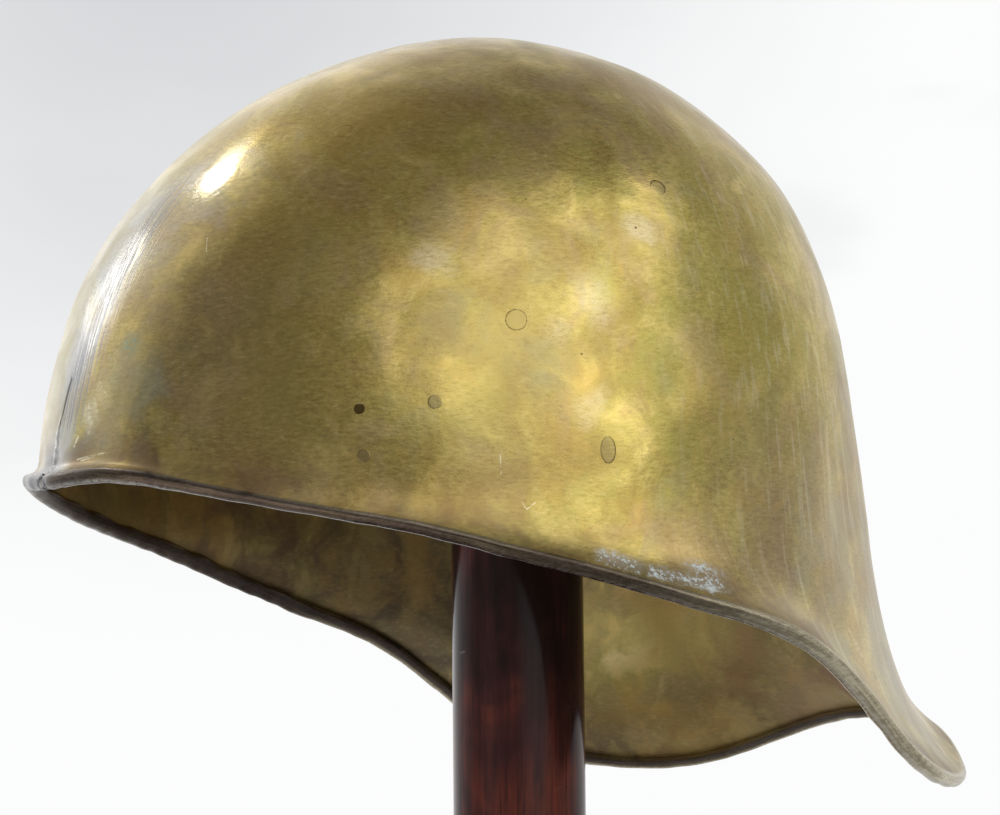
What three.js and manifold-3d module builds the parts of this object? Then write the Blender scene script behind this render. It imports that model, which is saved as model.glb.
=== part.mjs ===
// A sallet, a plain open-faced helmet raised from one sheet of brass, on a plain round post stand.
// Millimetres. +Z is up, the brow faces -Y and the helmet's left side is +X.
// The origin is the centre of the stand's underside, on the axis of its post.
import * as THREE from 'three';
import { mergeVertices } from 'three/addons/utils/BufferGeometryUtils.js';
import Module from 'manifold-3d';

const wasm = await Module();
wasm.setup();

// Skull, seen from above at its widest level
const HALF_WIDTH = 110;
const HALF_LENGTH = 121.5;
const EGG = 13.5; // brow and nape both sit this far forward of an ellipse
const WIDEST_LEVEL = 210; // height of that level above the floor

// Skull, seen from the side
const CROWN_HEIGHT = 121; // outside of the crown above the widest level
const SOFTNESS = 26; // height over which the dome runs into the skirt
const NAPE_FULLNESS = 2.6; // how far the back of the dome swells beyond an ellipse
const FLARE_POWER = 5.3; // how suddenly the skirt turns out at the rim

// Sheet and rolled hem
const SHEET = 1.4;
const ROLL_RADIUS = 2.3; // across the roll, square to the sheet
const ROLL_REACH = 2; // from the roll's centre to its edge, in line with the sheet
const ROLL_SQUARENESS = 2.6; // 2 is round
const HEM_RISE = 3.1; // from the roll's centre to the hem's cut edge
const HEM_SET_IN = 3.2; // from the outside of the sheet to the hem's inner face at that edge
const CREVICE = 0.5; // slot between the hem's cut edge and the sheet
const CREVICE_DEPTH = 1.2;

// Rim, a row for each section from the brow, at 0 degrees, to the nape. Both sides are alike.
// drop is the rim below the widest level, lean the slope of the skirt in degrees,
// flare the turn outwards at the rim.
const RIM = [
  { at: 0, drop: 13, lean: 7.5, flare: 5.5 },
  { at: 15, drop: 12, lean: 6.5, flare: 4 },
  { at: 30, drop: 17.5, lean: 1.5, flare: 2 },
  { at: 45, drop: 24, lean: -3, flare: 2 },
  { at: 60, drop: 30.5, lean: -4, flare: 4 },
  { at: 75, drop: 39, lean: -1.5, flare: 7.5 },
  { at: 90, drop: 49, lean: 2, flare: 12.5 },
  { at: 105, drop: 63, lean: 4, flare: 17.5 },
  { at: 120, drop: 90, lean: 6, flare: 16.5 },
  { at: 135, drop: 100.5, lean: 7, flare: 16.5 },
  { at: 150, drop: 99, lean: 8, flare: 18.5 },
  { at: 165, drop: 88, lean: 9.5, flare: 20.5 },
  { at: 180, drop: 83, lean: 9.5, flare: 21 },
];
const RIM_STEP = RIM[1].at; // the rows are evenly spaced

// Old rivet holes of the left side, closed flush but for one. turn is measured in degrees from the
// brow, level from the widest level, wide goes round the skull and long up it.
const PLUGS = [
  { name: 'plug_brow', turn: 50.4, level: -11, wide: 3.6, long: 3.6 },
  { name: 'plug_temple', turn: 58.9, level: 3.2, wide: 3.8, long: 3.8 },
  { name: 'plug_side', turn: 68.9, level: 25.5, wide: 5.9, long: 5.9 },
  { name: 'plug_ear', turn: 80.3, level: -9.6, wide: 4.3, long: 7.5 },
  { name: 'plug_back', turn: 93.2, level: 65.4, wide: 4.8, long: 4.8 },
  { name: 'plug_crown', turn: 40.2, level: 81.7, wide: 5, long: 5 },
];
const OPEN_RIVET_HOLE = { turn: 49.8, level: 1.6, wide: 3 };
const HOLE_CUT = 4 * SHEET; // length of the cut for a hole, right through the sheet
const SEAT_GAP = 0.3; // between neighbouring pieces

// Stand
const POST_RADIUS = 20;
const POST_BEHIND = 11; // the post stands this far behind the middle of the crown
const POST_HEAD_RADIUS = 60; // the rounded top
const BASE_RADIUS = 100;
const BASE_HEIGHT = 22;
const BASE_ROUNDING = 6;
const SOCKET_DEPTH = 14;

// Fineness of the meshes
const TURNS = 64;
const DOME_ROWS = 12;
const SKIRT_ROWS = 8;
const ROLL_ROWS = 6;
const INNER_SKIRT_ROWS = 6;
const INNER_DOME_ROWS = 11;
const PLUG_SIDES = 12;
const POST_SIDES = 32;
const POST_HEAD_ROWS = 5;
const BASE_EDGE_ROWS = 4;
const CROWDING = 1.6; // how far the skirt's rows crowd towards the rim, where it turns out; 1 is even
const CROWN_ROWS = 24; // rows of the crown that the height of the post is found from
const CROWN_STEP = 0.02;
const NUDGE = 1e-4; // step along the sheet for its directions

const brass = new THREE.MeshStandardMaterial({ color: 0x8a7a3c, roughness: 0.38, metalness: 0.9 });
const dullBrass = new THREE.MeshStandardMaterial({ color: 0x6d6236, roughness: 0.5, metalness: 0.8 });
const mahogany = new THREE.MeshStandardMaterial({ color: 0x3a1712, roughness: 0.3, metalness: 0 });

// A smooth curve of the turn from the brow through one column of RIM, level at brow and nape.
// The slopes at the rows solve slope before + 4 slope here + slope after = 3 (next - previous).
function alongRim(column) {
  const value = RIM.map((row) => row[column]);
  const last = value.length - 1;
  const slope = value.map(() => 0);
  const carry = value.map(() => 0);
  for (let i = 1; i < last; i += 1) {
    const pivot = 4 - carry[i - 1];
    carry[i] = 1 / pivot;
    slope[i] = (3 * (value[i + 1] - value[i - 1]) - slope[i - 1]) / pivot;
  }
  for (let i = last - 1; i > 0; i -= 1) {
    slope[i] -= carry[i] * slope[i + 1];
  }
  return (turn) => {
    const along = Math.abs(THREE.MathUtils.radToDeg(turn)) / RIM_STEP;
    const i = Math.min(Math.floor(along), last - 1);
    const u = along - i;
    const rise = value[i + 1] - value[i];
    return value[i] + u * (slope[i] + u * (3 * rise - 2 * slope[i] - slope[i + 1]
      + u * (slope[i] + slope[i + 1] - 2 * rise)));
  };
}
const dropAt = alongRim('drop');
const leanAt = alongRim('lean');
const flareAt = alongRim('flare');

// Helmet directions (towards the brow, towards the left, up) into the stand's frame
function place(forward, left, up) {
  return new THREE.Vector3(left, -(forward + POST_BEHIND), up + WIDEST_LEVEL);
}

// Smooth height above the widest level: it is the level itself well above, nothing well below
function above(level) {
  return (level + Math.hypot(level, SOFTNESS)) / 2;
}

// Outside of the sheet, at a turn from the brow and a level. The plan is an ellipse bent forward;
// the dome is an ellipse of the smooth height; lean and flare push along the plan's own normal.
function outside(turn, level) {
  const c = Math.cos(turn);
  const s = Math.sin(turn);
  const share = above(level) / above(CROWN_HEIGHT);
  const reach = Math.sqrt(Math.max(1 - share * share, 0));
  const normal = new THREE.Vector2(HALF_WIDTH * c, HALF_LENGTH * s + 2 * EGG * c * s).normalize();
  const lean = Math.tan(THREE.MathUtils.degToRad(leanAt(turn))) * above(-level);
  const fullness = NAPE_FULLNESS * ((1 - c) / 2) * (2 * reach * share) ** 2;
  const flare = flareAt(turn) * Math.max(-level / dropAt(turn), 0) ** FLARE_POWER;
  const push = (lean + fullness) * reach + flare;
  const ahead = HALF_LENGTH * reach * c + EGG * (reach * c) ** 2;
  return place(ahead + push * normal.x, HALF_WIDTH * reach * s + push * normal.y, level);
}

// Level of a row of the mesh: t runs from 0 at the crown through 1 at the widest level to 2 at the rim
function levelOf(turn, t) {
  return t < 1 ? CROWN_HEIGHT * Math.cos(t * Math.PI / 2) : -dropAt(turn) * (t - 1);
}

// Directions at a point of the sheet: its outward normal, round the skull and down towards the rim
function sheetFrame(turn, t) {
  const row = (dTurn, dRow) => outside(turn + dTurn, levelOf(turn + dTurn, t + dRow));
  const round = row(NUDGE, 0).sub(row(-NUDGE, 0)).normalize();
  const down = row(0, 0).sub(row(0, -NUDGE)).normalize();
  const normal = new THREE.Vector3().crossVectors(down, round).normalize();
  return { normal, round, reach: new THREE.Vector3().crossVectors(round, normal).normalize() };
}

// Section of the skull at one turn, as a list of points from the outside of the crown over the rim,
// round the roll, up the hem, into its crevice and up the inside to the crown
function section(turn) {
  const points = [];
  const add = (base, frame, inward, outward) => {
    points.push(base.clone().addScaledVector(frame.normal, -inward).addScaledVector(frame.reach, outward));
  };
  const rowAt = (t, inward) => add(outside(turn, levelOf(turn, t)), sheetFrame(turn, t), inward, 0);
  for (let i = 1; i <= DOME_ROWS; i += 1) {
    rowAt(i / DOME_ROWS, 0);
  }
  for (let i = 1; i < SKIRT_ROWS; i += 1) {
    rowAt(1 + crowd(i / SKIRT_ROWS), 0);
  }
  const rim = outside(turn, levelOf(turn, 2));
  const frame = sheetFrame(turn, 2);
  for (let i = 0; i <= ROLL_ROWS; i += 1) {
    const angle = (i / ROLL_ROWS) * Math.PI;
    const across = Math.sign(Math.cos(angle)) * Math.abs(Math.cos(angle)) ** (2 / ROLL_SQUARENESS);
    const along = Math.abs(Math.sin(angle)) ** (2 / ROLL_SQUARENESS);
    add(rim, frame, ROLL_RADIUS * (1 - across), ROLL_REACH * along);
  }
  const hemOuter = SHEET + CREVICE;
  add(rim, frame, HEM_SET_IN, -HEM_RISE);
  add(rim, frame, hemOuter, -HEM_RISE);
  add(rim, frame, hemOuter, CREVICE_DEPTH - HEM_RISE);
  add(rim, frame, SHEET, CREVICE_DEPTH - HEM_RISE);
  const perRow = outside(turn, levelOf(turn, 2)).distanceTo(outside(turn, levelOf(turn, 2 - NUDGE))) / NUDGE;
  const innerRim = 1 - (HEM_RISE + SHEET) / perRow;
  for (let i = INNER_SKIRT_ROWS; i > 0; i -= 1) {
    rowAt(1 + innerRim * crowd(i / INNER_SKIRT_ROWS), SHEET);
  }
  for (let i = INNER_DOME_ROWS; i > 0; i -= 1) {
    rowAt(i / INNER_DOME_ROWS, SHEET);
  }
  return points;
}

function crowd(share) {
  return 1 - (1 - share) ** CROWDING;
}

// Closed solid from its indexed points
function solidGeometry(points, faces) {
  const geometry = new THREE.BufferGeometry();
  geometry.setAttribute('position', new THREE.Float32BufferAttribute(points.flatMap((p) => p.toArray()), 3));
  geometry.setIndex(faces);
  return geometry;
}

function skullGeometry() {
  const sections = [];
  for (let i = 0; i < TURNS; i += 1) {
    const turn = ((i * 2) / TURNS - 1) * Math.PI;
    sections.push(section(turn));
  }
  const rows = sections[0].length;
  const points = sections.flat();
  const outerPole = points.length;
  const innerPole = outerPole + 1;
  points.push(place(0, 0, CROWN_HEIGHT), place(0, 0, CROWN_HEIGHT - SHEET));
  const faces = [];
  for (let i = 0; i < TURNS; i += 1) {
    const here = i * rows;
    const next = ((i + 1) % TURNS) * rows;
    faces.push(outerPole, here, next);
    for (let j = 0; j < rows - 1; j += 1) {
      faces.push(here + j, here + j + 1, next + j + 1);
      faces.push(here + j, next + j + 1, next + j);
    }
    faces.push(innerPole, next + rows - 1, here + rows - 1);
  }
  return solidGeometry(points, faces);
}

// Cuts with the solid library, which wants only merged positions
function toManifold(geometry) {
  const bare = geometry.clone();
  bare.deleteAttribute('normal');
  bare.deleteAttribute('uv');
  const merged = mergeVertices(bare);
  return new wasm.Manifold(new wasm.Mesh({
    numProp: 3,
    vertProperties: merged.attributes.position.array,
    triVerts: new Uint32Array(merged.index.array),
  }));
}

function fromManifold(solid) {
  const mesh = solid.getMesh();
  const geometry = new THREE.BufferGeometry();
  geometry.setAttribute('position', new THREE.BufferAttribute(mesh.vertProperties, 3));
  geometry.setIndex(new THREE.BufferAttribute(mesh.triVerts, 1));
  return geometry;
}

// Where a rivet sits: its outer face is flush with the sheet, its axis square to it
function rivetPlace(rivet) {
  const turn = THREE.MathUtils.degToRad(rivet.turn);
  const t = rivet.level > 0
    ? Math.acos(rivet.level / CROWN_HEIGHT) / (Math.PI / 2)
    : 1 - rivet.level / dropAt(turn);
  const frame = sheetFrame(turn, t);
  const basis = new THREE.Matrix4().makeBasis(frame.round, frame.normal, frame.reach);
  return { face: outside(turn, rivet.level), normal: frame.normal, basis };
}

// A short cylinder, oval where the rivet is, with its axis along Y
function rivetGeometry(wide, long, thickness) {
  return new THREE.CylinderGeometry(wide / 2, wide / 2, thickness, PLUG_SIDES).scale(1, 1, long / wide);
}

// Hole through the sheet for a rivet, larger all round by the gap
function rivetHole(rivet, gap) {
  const seat = rivetPlace(rivet);
  const long = rivet.long ?? rivet.wide;
  const hole = rivetGeometry(rivet.wide + 2 * gap, long + 2 * gap, HOLE_CUT);
  hole.applyMatrix4(seat.basis);
  hole.translate(...seat.face.toArray());
  return toManifold(hole);
}

function skull() {
  let solid = toManifold(skullGeometry());
  for (const plug of PLUGS) {
    solid = solid.subtract(rivetHole(plug, SEAT_GAP));
  }
  solid = solid.subtract(rivetHole(OPEN_RIVET_HOLE, 0));
  const mesh = new THREE.Mesh(fromManifold(solid), brass);
  mesh.name = 'skull';
  return mesh;
}

function plugMesh(plug) {
  const seat = rivetPlace(plug);
  const mesh = new THREE.Mesh(rivetGeometry(plug.wide, plug.long, SHEET), dullBrass);
  mesh.name = plug.name;
  mesh.quaternion.setFromRotationMatrix(seat.basis);
  mesh.position.copy(seat.face).addScaledVector(seat.normal, -SHEET / 2);
  return mesh;
}

// Highest centre of the post's rounded head that keeps the gap under the crown
function headCentre() {
  const clear = POST_HEAD_RADIUS + SEAT_GAP;
  let centre = Infinity;
  for (let i = 0; i < TURNS; i += 1) {
    const turn = (i / TURNS) * 2 * Math.PI;
    for (let j = 1; j <= CROWN_ROWS; j += 1) {
      const t = j * CROWN_STEP;
      const inner = outside(turn, levelOf(turn, t)).addScaledVector(sheetFrame(turn, t).normal, -SHEET);
      const away = Math.hypot(inner.x, inner.y);
      if (away < POST_RADIUS) {
        centre = Math.min(centre, inner.z - Math.sqrt(clear * clear - away * away));
      }
    }
  }
  return centre;
}

// Turned pieces of the stand, from points of radius and height
function turned(name, profile, material) {
  const points = profile.map(([radius, height]) => new THREE.Vector2(radius, height));
  const mesh = new THREE.Mesh(new THREE.LatheGeometry(points, POST_SIDES), material);
  mesh.name = name;
  mesh.rotation.x = Math.PI / 2;
  return mesh;
}

function standPost() {
  const centre = headCentre();
  const foot = BASE_HEIGHT - SOCKET_DEPTH + SEAT_GAP;
  const profile = [[0, foot], [POST_RADIUS, foot]];
  const edge = Math.asin(POST_RADIUS / POST_HEAD_RADIUS);
  for (let i = POST_HEAD_ROWS; i >= 0; i -= 1) {
    const angle = (edge * i) / POST_HEAD_ROWS;
    profile.push([POST_HEAD_RADIUS * Math.sin(angle), centre + POST_HEAD_RADIUS * Math.cos(angle)]);
  }
  return turned('stand_post', profile, mahogany);
}

function standBase() {
  const socket = POST_RADIUS + SEAT_GAP;
  const profile = [[0, 0], [BASE_RADIUS, 0]];
  for (let i = 0; i <= BASE_EDGE_ROWS; i += 1) {
    const angle = (Math.PI / 2) * (i / BASE_EDGE_ROWS);
    profile.push([
      BASE_RADIUS - BASE_ROUNDING * (1 - Math.cos(angle)),
      BASE_HEIGHT - BASE_ROUNDING * (1 - Math.sin(angle)),
    ]);
  }
  profile.push([socket, BASE_HEIGHT], [socket, BASE_HEIGHT - SOCKET_DEPTH], [0, BASE_HEIGHT - SOCKET_DEPTH]);
  return turned('stand_base', profile, mahogany);
}

const sallet = new THREE.Group();
sallet.name = 'sallet_on_stand';
sallet.add(skull(), ...PLUGS.map(plugMesh), standPost(), standBase());

export default sallet;
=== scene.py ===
"""Looks of a brass sallet on a plain wooden post stand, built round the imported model.

Metres throughout. +Z is up, the brow of the helmet faces -Y and its left side is +X.
The origin is the centre of the stand's underside, on the axis of its post.
"""

import math

import bmesh
import bpy
import numpy as np
from mathutils import Matrix, Vector


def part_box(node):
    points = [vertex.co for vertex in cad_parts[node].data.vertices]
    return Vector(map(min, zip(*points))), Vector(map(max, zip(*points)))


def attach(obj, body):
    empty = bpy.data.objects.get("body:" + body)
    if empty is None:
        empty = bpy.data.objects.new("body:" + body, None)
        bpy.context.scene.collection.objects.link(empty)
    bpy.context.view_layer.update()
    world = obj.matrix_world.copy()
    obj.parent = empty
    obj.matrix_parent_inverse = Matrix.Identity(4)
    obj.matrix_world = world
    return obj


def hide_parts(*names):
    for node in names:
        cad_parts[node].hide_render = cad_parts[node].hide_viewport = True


bl_info = {
    "name": "Sallet on a post stand",
    "version": (1, 0, 0),
    "blender": (4, 5, 0),
    "location": "View3D > Sidebar > Sallet",
    "description": "Builds a raised brass sallet, its rivet plugs, its wooden stand and a pale stage",
    "category": "Object",
}

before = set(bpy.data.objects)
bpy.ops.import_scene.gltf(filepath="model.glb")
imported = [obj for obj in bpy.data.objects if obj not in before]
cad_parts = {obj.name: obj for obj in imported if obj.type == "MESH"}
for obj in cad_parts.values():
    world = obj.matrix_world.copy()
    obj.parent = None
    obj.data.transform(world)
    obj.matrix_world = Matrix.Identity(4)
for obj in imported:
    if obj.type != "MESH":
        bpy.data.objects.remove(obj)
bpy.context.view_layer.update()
MM = 0.001

# Skull, seen from above at its widest level
HALF_WIDTH = 110 * MM
HALF_LENGTH = 121.5 * MM
EGG = 13.5 * MM  # brow and nape both sit this far forward of an ellipse
WIDEST_LEVEL = 210 * MM  # height of that level above the floor
POST_BEHIND = 11 * MM  # the post stands this far behind the middle of the crown

# Skull, seen from the side
CROWN_HEIGHT = 121 * MM
SOFTNESS = 26 * MM  # height over which the dome runs into the skirt
NAPE_FULLNESS = 2.6 * MM
FLARE_POWER = 5.3
BROW_CRISPNESS = 8.0  # added to the power at the brow, where the sheet runs straight into the roll

# Sheet and rolled hem
SHEET = 1.4 * MM
ROLL_RADIUS = 2.3 * MM
ROLL_REACH = 2 * MM
HEM_RISE = 3.1 * MM
HEM_SET_IN = 3.2 * MM
CREVICE = 0.5 * MM
CREVICE_DEPTH = 1.2 * MM
BROW_REACH = 148 * MM  # turns become lengths along the hem beside the brow at this radius
SCAR_BESIDE = 0.6 * MM  # the notch in the hem lies this far to the left of the brow's middle

# Rim, one value for each 15 degrees from the brow to the nape; both sides are alike
RIM_STEP = math.radians(15)
RIM = {
    "drop": MM * np.array([13, 12, 17.5, 24, 30.5, 39, 49, 63, 90, 100.5, 99, 88, 83]),
    "lean": np.radians([7.5, 6.5, 1.5, -3, -4, -1.5, 2, 4, 6, 7, 8, 9.5, 9.5]),
    "flare": MM * np.array([3.6, 3.0, 1.8, 2, 4, 7.5, 12.5, 17.5, 16.5, 16.5, 18.5, 20.5, 21]),
}

# Old rivet holes of the left side: turn from the brow in degrees, level above the widest one,
# full width round the skull and length up it in millimetres, the gap left round the plug, how far
# the plug's face stands proud, and how much darker it is than the sheet
RIVETS = {
    "brow": dict(turn=50.4, level=-11, wide=3.6, long=3.6, gap=0.02, proud=0.0, dark=0.50),
    "temple": dict(turn=58.9, level=3.2, wide=3.8, long=3.8, gap=0.01, proud=0.0, dark=0.55),
    "side": dict(turn=68.9, level=25.5, wide=5.9, long=5.9, gap=0.035, proud=0.0, dark=0.08),
    "ear": dict(turn=80.3, level=-9.6, wide=4.3, long=7.5, gap=0.035, proud=-0.02, dark=0.42),
    "back": dict(turn=93.2, level=65.4, wide=4.8, long=4.8, gap=0.07, proud=-0.05, dark=0.34),
    "crown": dict(turn=40.2, level=81.7, wide=5.0, long=5.0, gap=0.02, proud=0.0, dark=0.03),
}
OPEN_HOLE = dict(turn=49.8, level=1.6, wide=3.0, long=3.0, gap=0.0)

# Stand
POST_RADIUS = 20 * MM
POST_FOOT = 8.3 * MM
POST_HEAD_RADIUS = 60 * MM
POST_CHAMFER = 0.6 * MM
BASE_RADIUS = 100 * MM
BASE_HEIGHT = 22 * MM
BASE_ROUNDING = 6 * MM
SOCKET_DEPTH = 14 * MM
SEAT_GAP = 0.3 * MM

# Fineness of the skull's mesh
COLUMNS = 352
DOME_ROWS = 76
SKIRT_ROWS = 34
ROLL_ROWS = 16
CROWDING = 1.35  # how much closer the rows of the skirt stand near the rim
HOLE_ROOM = 1.3 * MM  # from the edge of a hole to the faces of the grid that are kept round it
POLES = 2  # points after those of the grid, at the crown's outside and inside
SECTION_BESIDE = 60  # columns from the brow to the section that the lengths are measured on
UV_RADIUS = 120 * MM  # turns become lengths round the skull at this radius
NUDGE = 1e-4  # step for slopes, in radians or units of t


# Shape of the skull


def along_rim(column, turn):
    """Smooth curve of the turn through a row of RIM: cubic between the given sections, with slopes
    that solve before + 4 here + after = 3 (next - previous), and level at the brow and the nape."""
    value = RIM[column]
    count = len(value)
    slope = np.zeros(count)
    inner = np.diag(np.full(count - 2, 4.0)) + np.eye(count - 2, k=1) + np.eye(count - 2, k=-1)
    slope[1:-1] = np.linalg.solve(inner, 3 * (value[2:] - value[:-2]))
    folded = np.abs((turn + np.pi) % (2 * np.pi) - np.pi) / RIM_STEP
    i = np.minimum(folded.astype(int), count - 2)
    u = folded - i
    rise = value[i + 1] - value[i]
    bend = slope[i] + slope[i + 1] - 2 * rise
    return value[i] + u * (slope[i] + u * (3 * rise - 2 * slope[i] - slope[i + 1] + u * bend))


def above(level):
    """Smooth height over the widest level: the level itself well above it, nothing well below."""
    return (level + np.hypot(level, SOFTNESS)) / 2


def outside(turn, level):
    """Outside of the sheet. The plan is an ellipse bent forward, the dome is an ellipse of the
    smooth height, and lean, fullness and flare push along the plan's own normal."""
    c, s = np.cos(turn), np.sin(turn)
    share = above(level) / above(CROWN_HEIGHT)
    reach = np.sqrt(np.maximum(1 - share**2, 0))
    ahead_n, left_n = HALF_WIDTH * c, HALF_LENGTH * s + 2 * EGG * c * s
    size = np.hypot(ahead_n, left_n)
    lean = np.tan(along_rim("lean", turn)) * above(-level)
    fullness = NAPE_FULLNESS * ((1 - c) / 2) * (2 * reach * share) ** 2
    power = FLARE_POWER + BROW_CRISPNESS * np.exp(-(np.sin(turn / 2) / 0.33) ** 2)
    flare = along_rim("flare", turn) * np.maximum(-level / along_rim("drop", turn), 0) ** power
    push = (lean + fullness) * reach + flare
    ahead = HALF_LENGTH * reach * c + EGG * (reach * c) ** 2 + push * ahead_n / size
    left = HALF_WIDTH * reach * s + push * left_n / size
    return np.stack([left, -(ahead + POST_BEHIND), level + WIDEST_LEVEL], axis=-1)


def level_of(turn, t):
    """Level of a row: t runs from 0 at the crown through 1 at the widest level to 2 at the rim."""
    dome = CROWN_HEIGHT * np.cos(np.minimum(t, 1) * np.pi / 2)
    return np.where(t < 1, dome, -along_rim("drop", turn) * (t - 1))


def row_of(turn, level):
    """The t of a level."""
    dome = np.arccos(np.clip(level / CROWN_HEIGHT, 0, 1)) / (np.pi / 2)
    return np.where(level > 0, dome, 1 - level / along_rim("drop", turn))


def unit(vectors):
    """The vectors at a length of one."""
    return vectors / np.linalg.norm(vectors, axis=-1, keepdims=True)


def sheet_frame(turn, t):
    """Directions at a point of the sheet: outward normal, and down the sheet towards the rim."""
    round_skull = unit(outside(turn + NUDGE, level_of(turn + NUDGE, t))
                       - outside(turn - NUDGE, level_of(turn - NUDGE, t)))
    down = unit(outside(turn, level_of(turn, t)) - outside(turn, level_of(turn, t - NUDGE)))
    normal = unit(np.cross(down, round_skull))
    return normal, unit(np.cross(round_skull, normal))


def waves(points, length, count, seed):
    """Even random relief of one wavelength: a sum of plane waves in seeded directions, with a
    root mean square of one."""
    rng = np.random.default_rng(seed)
    ways = unit(rng.normal(size=(count, 3)))
    pace = 2 * np.pi / (length * rng.uniform(0.75, 1.35, count))
    phase = rng.uniform(0, 2 * np.pi, count)
    flat = points.reshape(-1, 3)
    total = np.cos((flat @ ways.T) * pace + phase).sum(axis=1) * math.sqrt(2 / count)
    return total.reshape(points.shape[:-1])


def bell(x, width):
    """Bell curve that is one at zero and falls to about a third at the width."""
    return np.exp(-((x / width) ** 2))


def ease(x, low, high):
    """Smooth step from 0 at low to 1 at high."""
    u = np.clip((x - low) / (high - low), 0, 1)
    return u * u * (3 - 2 * u)


def hammering(points):
    """Height of the planished surface over the plain form: broad hollows that die out towards the
    stiff rim, hammer marks of about the width of a thumb and small ones between them."""
    sizes = bpy.context.scene.sallet_sheet
    inwards = ease(-points[..., 2], -WIDEST_LEVEL + 25 * MM, -WIDEST_LEVEL + 75 * MM)
    return (sizes.hollows * (1 - 0.8 * inwards) * (waves(points, 46 * MM, 40, 3) - 0.6)
            + sizes.hammer_marks * (1 - 0.4 * inwards)
            * (waves(points, 15 * MM, 70, 5) + 0.2 * waves(points, 8 * MM, 70, 8) - 0.5 * inwards))


def crack_turn(level):
    """The old crack runs down the brow, leaning a little to the right as it falls."""
    return np.radians(0.1 + 0.9 * np.tanh((level - 7 * MM) / (9 * MM)))


def skull_surface(turn, t, depth):
    """A point of the hammered sheet, the given depth under its outside."""
    normal, _ = sheet_frame(turn, t)
    base = outside(turn, level_of(turn, t))
    return base + normal * (hammering(base) - depth)[..., None]


def front_columns():
    """Turns of the mesh's columns, from the nape round to the nape. They stand closer at the brow,
    where the crack is: their spacing is one over a density with a bell there."""
    fine = np.linspace(-np.pi, np.pi, 20001)
    density = 1 + 5 * bell(fine, math.radians(3.2))
    count = np.concatenate([[0], np.cumsum((density[1:] + density[:-1]) / 2)])
    return np.interp(np.arange(COLUMNS) / COLUMNS * count[-1], count, fine)


def follow_crack(turn, level):
    """Columns near the brow shift sideways so that the middle one lies in the crack."""
    return turn + crack_turn(level) * bell(turn, math.radians(7))


def brow_scar(turn, level, base):
    """Height of the torn and soldered place at the brow: an open crack, then a bead of solder that
    runs down to the rim."""
    side = turn * np.hypot(base[..., 0], base[..., 1])
    open_stretch = ease(level, -1 * MM, 4 * MM) * ease(-level, -16 * MM, -11 * MM)
    crack = -0.8 * MM * bell(side, 0.36 * MM) * open_stretch
    bead = 0.35 * MM * bell(side, 1.3 * MM) * ease(-level, -3 * MM, 1 * MM)
    lumps = 0.12 * MM * waves(base, 2.4 * MM, 50, 21) * bell(side, 3 * MM) * ease(-level, -8 * MM, 0)
    return crack + bead + lumps


def outer_sheet(across):
    """Outside of the hammered sheet with the scar at the brow: a row for each t from the crown to
    just above the rim, closer together near the rim, and a column for each turn. Also its turns
    and ts."""
    dome = np.arange(1, DOME_ROWS + 1) / DOME_ROWS
    skirt = 2 - (1 - np.arange(1, SKIRT_ROWS) / SKIRT_ROWS) ** CROWDING
    t = np.concatenate([dome, skirt])[:, None]
    straight = np.repeat(across[None, :], len(t), axis=0)
    level = level_of(straight, t)
    turn = follow_crack(straight, level)
    outer = skull_surface(turn, t, np.zeros_like(turn))
    normal, _ = sheet_frame(turn, t)
    return outer + normal * brow_scar(straight, level, outer)[..., None], turn, t


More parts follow.
